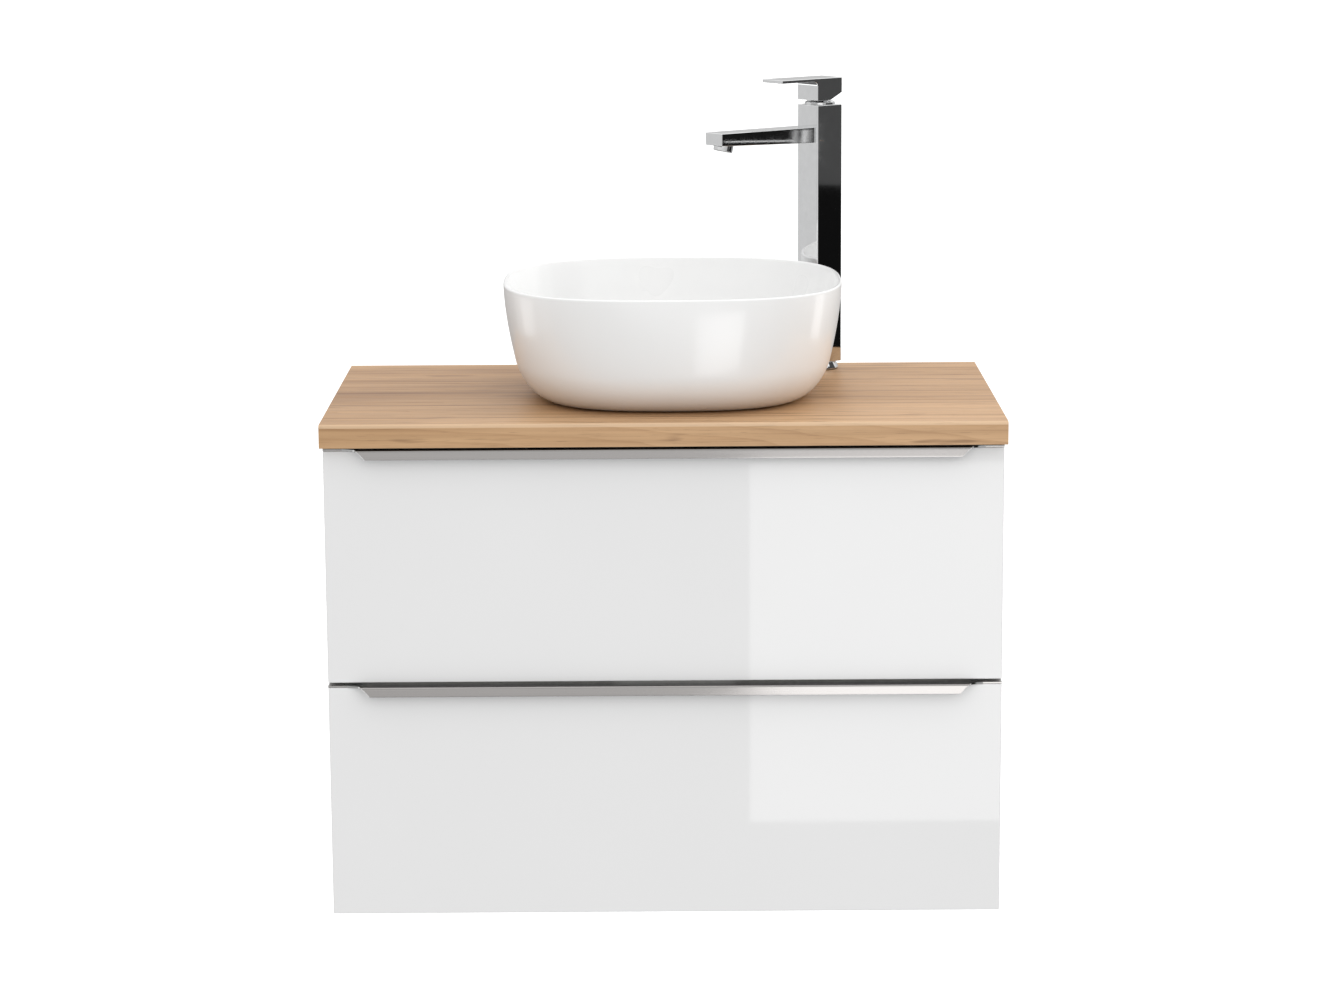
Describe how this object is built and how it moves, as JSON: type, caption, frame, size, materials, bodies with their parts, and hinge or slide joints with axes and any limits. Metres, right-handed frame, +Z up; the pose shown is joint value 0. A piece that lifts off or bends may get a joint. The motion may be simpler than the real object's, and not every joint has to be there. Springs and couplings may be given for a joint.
{
  "type": "vessel sink on vanity",
  "caption": "Wall-hung bathroom vanity with drawers, oak worktop, white vessel basin and a tall square chrome mixer tap.",
  "frame": {"origin": "on the wall, at the centre of the four wall screw holes", "axes": "+X to the user's right, +Y into the wall, +Z up"},
  "size_m": [0.806, 0.46, 0.969],
  "materials": {
    "gloss_white": "high-gloss acrylic on board",
    "white_board": "white melamine-faced chipboard",
    "oak_laminate": "golden oak laminate, satin",
    "satin_aluminium": "satin, with bright cut edges",
    "grey_steel": "light grey powder coat",
    "zinc_steel": "zinc plated",
    "glazed_ceramic": "gloss white glaze",
    "chrome": "polished",
    "brass": "turned",
    "rubber": "matt",
    "white_plastic": "moulded",
    "beech": "fluted beech",
    "silicone": "translucent",
    "black_steel": "blackened"
  },
  "bodies": {
    "cabinet": {"side_left": "white_board", "side_right": "white_board", "bottom_panel": "white_board", "top_front_rail": "white_board", "top_back_rail": "white_board", "back_rail_upper": "white_board", "back_rail_lower": "white_board", "carcass_dowels": "beech", "cam_fittings": "zinc_steel", "hangers": "white_plastic", "wall_plates": "zinc_steel", "worktop": "oak_laminate", "worktop_screws": "zinc_steel", "fixed_runners": "zinc_steel", "runner_screws": "zinc_steel", "basin": "glazed_ceramic", "basin_seal": "silicone", "waste_body": "chrome", "waste_nut": "brass", "drain_seals": "rubber", "trap_dip_tube": "chrome", "trap_body": "chrome", "trap_cup": "chrome", "trap_nuts": "chrome", "trap_outlet_pipe": "chrome", "wall_rosette": "chrome", "tap_foot": "chrome", "tap_column": "chrome", "tap_spout": "chrome", "aerator_housing": "chrome", "aerator_insert": "white_plastic", "tap_cartridge": "white_plastic", "cartridge_nut": "brass", "dome_ring": "chrome", "tap_shank": "brass", "tap_washers": "rubber", "tap_nut": "brass"},
    "upper_drawer": {"upper_front": "gloss_white", "upper_handle": "satin_aluminium", "upper_sides": "grey_steel", "upper_bottom": "white_board", "upper_inner_boards": "white_board", "upper_gallery_rails": "grey_steel", "upper_brackets": "grey_steel", "upper_inner_runners": "zinc_steel"},
    "upper_middle": {"upper_middle_runners": "zinc_steel"},
    "lower_drawer": {"lower_front": "gloss_white", "lower_handle": "satin_aluminium", "lower_sides": "grey_steel", "lower_bottom": "white_board", "lower_back_board": "white_board", "lower_gallery_rails": "grey_steel", "lower_brackets": "grey_steel", "lower_inner_runners": "zinc_steel"},
    "lower_middle": {"lower_middle_runners": "zinc_steel"},
    "plug": {"waste_plug": "chrome"},
    "spindle": {"cartridge_spindle": "white_plastic"},
    "lever": {"cartridge_stem": "zinc_steel", "tap_lever": "chrome", "lever_grub_screw": "black_steel"}
  },
  "joints": [
    {"name": "upper_drawer_slide", "type": "slide", "parent": "cabinet", "child": "upper_drawer", "axis": [0, -1, 0], "range_m": [0, 0.33]},
    {"name": "upper_middle_slide", "type": "slide", "parent": "cabinet", "child": "upper_middle", "axis": [0, -1, 0], "range_m": [0, 0.165]},
    {"name": "lower_drawer_slide", "type": "slide", "parent": "cabinet", "child": "lower_drawer", "axis": [0, -1, 0], "range_m": [0, 0.33]},
    {"name": "lower_middle_slide", "type": "slide", "parent": "cabinet", "child": "lower_middle", "axis": [0, -1, 0], "range_m": [0, 0.165]},
    {"name": "plug_rise", "type": "slide", "parent": "cabinet", "child": "plug", "axis": [0, 0, 1], "range_m": [0, 0.008]},
    {"name": "lever_swivel", "type": "hinge", "parent": "cabinet", "child": "spindle", "pos_m": [0.2, -0.043, 0.417], "axis": [0, 0, 1], "range_deg": [-45, 45]},
    {"name": "lever_lift", "type": "hinge", "parent": "spindle", "child": "lever", "pos_m": [0.2, -0.043, 0.417], "axis": [-0.6018, 0.7986, 0], "range_deg": [0, 22]}
  ],
  "couplings": [
    {"joint": "upper_middle_slide", "follows": "upper_drawer_slide", "ratio": 0.5},
    {"joint": "lower_middle_slide", "follows": "lower_drawer_slide", "ratio": 0.5}
  ]
}
